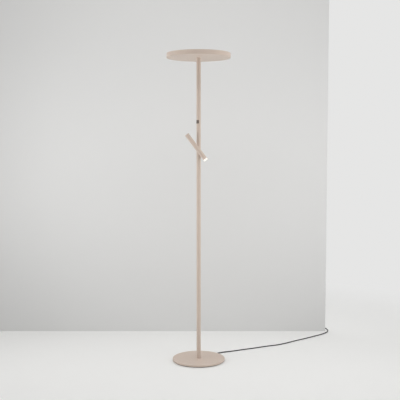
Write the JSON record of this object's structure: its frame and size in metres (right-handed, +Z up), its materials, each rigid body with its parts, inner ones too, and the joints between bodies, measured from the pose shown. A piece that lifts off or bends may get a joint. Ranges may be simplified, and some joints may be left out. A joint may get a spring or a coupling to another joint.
{
  "type": "torchiere floor lamp",
  "caption": "Tall floor lamp: round weighted base, slim straight pole, flat disc uplight, and a small tilting cylindrical reading light on a friction pivot.",
  "frame": {"origin": "on the floor, on the axis of the pole, at the middle of the base's underside", "axes": "+Z up along the pole, +X to the right and -Y to the front, as the lamp is seen with its reading light before the pole"},
  "size_m": [1.0786, 1.0481, 1.8],
  "materials": {
    "sand_paint": "fine satin powder coat, sand beige",
    "black_foam": "matt foam pad",
    "black_rubber": "matt",
    "zinc_steel": "zinc plated",
    "bare_aluminium": "turned and bare",
    "white_plastic": "matt white",
    "led_board": "white board with pale yellow chips",
    "opal_glow": "opal acrylic, lit",
    "opal_glow_reading": "opal acrylic, lit",
    "circuit_board": "green solder mask",
    "black_plastic": "fine matt",
    "dark_window": "satin dark brown-grey",
    "white_lead": "smooth sheath",
    "black_cord": "smooth sheath",
    "black_strap": "woven strap",
    "pin_metal": "nickel-plated brass"
  },
  "bodies": {
    "lamp_stand": {"base_plate": "sand_paint", "pole_lower": "sand_paint", "pole_middle": "sand_paint", "pole_upper": "sand_paint", "head_pan": "sand_paint", "base_pad": "black_foam", "cord_relief": "black_rubber", "pole_plugs": "zinc_steel", "pole_couplers": "zinc_steel", "hub_plate": "zinc_steel", "head_nut": "zinc_steel", "carrier_plate": "bare_aluminium", "standoffs": "bare_aluminium", "diffuser_posts": "bare_aluminium", "driver": "white_plastic", "led_boards": "led_board", "diffuser": "opal_glow", "control_board": "circuit_board", "control_switches": "black_plastic", "control_window": "dark_window", "pole_saddle": "black_plastic", "pivot_inner_saddle": "black_plastic", "supply_lead": "white_lead", "cord_tube": "black_cord", "cord_coil": "black_cord", "cord_tail": "black_cord", "coil_tie": "black_strap", "mains_plug": "black_plastic", "plug_pins": "pin_metal"},
    "reading_light": {"lamp_saddle": "black_plastic", "pivot_stud": "zinc_steel", "pivot_nut": "zinc_steel", "pivot_block": "bare_aluminium", "reading_tube": "sand_paint", "reading_cap": "sand_paint", "reading_heatsink": "bare_aluminium", "reading_led": "led_board", "reading_lens": "opal_glow_reading"},
    "uplight_button": {"uplight_key": "dark_window", "uplight_plunger": "black_plastic"},
    "reading_button": {"reading_key": "dark_window", "reading_plunger": "black_plastic"}
  },
  "joints": [
    {"name": "reading_tilt", "type": "hinge", "parent": "lamp_stand", "child": "reading_light", "pos_m": [0, -0.01463, 1.2434], "axis": [0, -1, 0], "range_deg": [-202, 128]},
    {"name": "uplight_press", "type": "slide", "parent": "lamp_stand", "child": "uplight_button", "axis": [0.6691, 0.7431, 0], "range_m": [0, 0.0008], "stiffness_N_per_m": 900, "springref_m": -0.0004},
    {"name": "reading_press", "type": "slide", "parent": "lamp_stand", "child": "reading_button", "axis": [0.6691, 0.7431, 0], "range_m": [0, 0.0008], "stiffness_N_per_m": 900, "springref_m": -0.0004}
  ]
}
